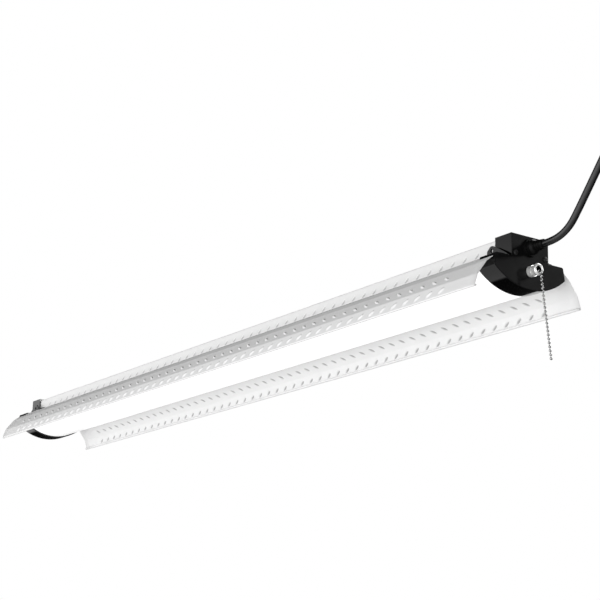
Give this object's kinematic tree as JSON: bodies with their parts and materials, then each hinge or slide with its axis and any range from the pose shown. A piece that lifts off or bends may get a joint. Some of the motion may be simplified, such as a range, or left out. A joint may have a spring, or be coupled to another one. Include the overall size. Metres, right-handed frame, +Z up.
{
  "type": "hanging shop light",
  "caption": "Long utility light with embossed white reflector wings, an opal LED lens, black end caps, hanging eyes, a pull-chain switch and a power cord.",
  "frame": {"origin": "the middle of the four hanging eyes, on the light's centre plane", "axes": "+X runs along the light to the near end, with the cord and the pull chain; +Y runs across it; +Z up, away from the lit side"},
  "size_m": [1.3628, 0.156, 0.357],
  "materials": {
    "white_paint": "satin white powder coat, embossed",
    "opal_lens": "opal acrylic, smooth",
    "black_plastic": "moulded, satin gloss",
    "black_hanger": "black paint",
    "steel": "zinc plated",
    "nickel": "nickel plated",
    "brass": "nickel-free brass blades",
    "cord_rubber": "black cord jacket",
    "board_white": "white solder mask",
    "board_green": "green solder mask",
    "chip_yellow": "phosphor",
    "insulator_plastic": "fish-paper grey",
    "ferrite": "ferrite and tape",
    "capacitor_sleeve": "sleeved",
    "wire_black": "insulated wire",
    "wire_white": "insulated wire",
    "wire_green": "insulated wire"
  },
  "bodies": {
    "light": {"driver_channel": "white_paint", "lamp_tray": "white_paint", "diffuser_lens": "opal_lens", "wing_right": "white_paint", "wing_left": "white_paint", "wing_rivets": "steel", "channel_screws": "steel", "end_cap_near": "black_plastic", "end_cap_far": "black_plastic", "end_bracket_near": "steel", "end_bracket_far": "steel", "cap_screws_near": "steel", "cap_screws_far": "steel", "hanger_near_right": "black_hanger", "hanger_near_left": "black_hanger", "hanger_far_right": "black_hanger", "hanger_far_left": "black_hanger", "hanger_rivets": "steel", "led_board_right": "board_white", "led_board_left": "board_white", "led_chips_right": "chip_yellow", "led_chips_left": "chip_yellow", "driver_insulator": "insulator_plastic", "driver_standoffs": "insulator_plastic", "driver_board": "board_green", "driver_transformer": "ferrite", "driver_capacitors": "capacitor_sleeve", "wire_live": "wire_black", "wire_neutral": "wire_white", "wire_earth": "wire_green", "switch_leads": "wire_black", "led_leads": "wire_white", "earth_screw": "steel", "strain_relief": "black_plastic", "strain_relief_nut": "black_plastic", "power_cord": "cord_rubber", "plug_body": "cord_rubber", "plug_blades": "brass", "switch_body": "black_plastic", "switch_barrel": "nickel", "switch_nut": "nickel", "bell_mouth": "nickel"},
    "lead_beads": {"chain_lead": "nickel"},
    "knuckle_bead": {"chain_knuckle": "nickel"},
    "upper_beads": {"chain_upper": "nickel"},
    "lower_beads": {"chain_lower": "nickel"}
  },
  "joints": [
    {"name": "chain_pull", "type": "slide", "parent": "light", "child": "knuckle_bead", "axis": [0.1392, 0, -0.9903], "range_m": [0, 0.008], "stiffness_N_per_m": 600},
    {"name": "lead_slide", "type": "slide", "parent": "light", "child": "lead_beads", "axis": [1, 0, 0], "range_m": [0, 0.008]},
    {"name": "chain_swing_out", "type": "hinge", "parent": "knuckle_bead", "child": "upper_beads", "pos_m": [0.60885, 0, -0.0281], "axis": [0, 1, 0], "range_deg": [-60, 32]},
    {"name": "chain_swing_side", "type": "hinge", "parent": "upper_beads", "child": "lower_beads", "pos_m": [0.6101, 0, -0.03701], "axis": [1, 0, 0], "range_deg": [-60, 60]}
  ],
  "couplings": [
    {"joint": "lead_slide", "follows": "chain_pull", "ratio": 1}
  ]
}
